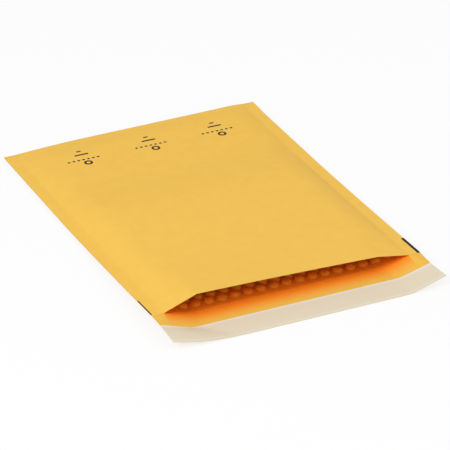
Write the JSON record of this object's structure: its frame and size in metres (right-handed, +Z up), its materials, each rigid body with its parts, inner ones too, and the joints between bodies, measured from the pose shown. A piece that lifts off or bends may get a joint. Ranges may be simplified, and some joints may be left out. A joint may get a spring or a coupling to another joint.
{
  "type": "padded envelope",
  "caption": "Self-seal kraft envelope lined with bubble film, lying flat with its mouth held open and its closing flap laid out.",
  "frame": {"origin": "on the table under the middle of the whole envelope, flap included", "axes": "+Y runs the long way from the flap to the bottom fold, +X across the pouch to the right as seen from the mouth, +Z up out of the front panel"},
  "size_m": [0.264, 0.402, 0.021],
  "materials": {
    "kraft_paper": "matte golden kraft paper",
    "clear_bubble_film": "clear glossy polyethylene bubble film over kraft",
    "hot_melt_adhesive": "tacky translucent pale yellow",
    "release_paper": "smooth silicone-coated pale beige paper"
  },
  "bodies": {
    "root": {"kraft_cover": "kraft_paper", "bubble_lining": "clear_bubble_film", "adhesive_strip": "hot_melt_adhesive", "release_liner": "release_paper"}
  },
  "joints": []
}
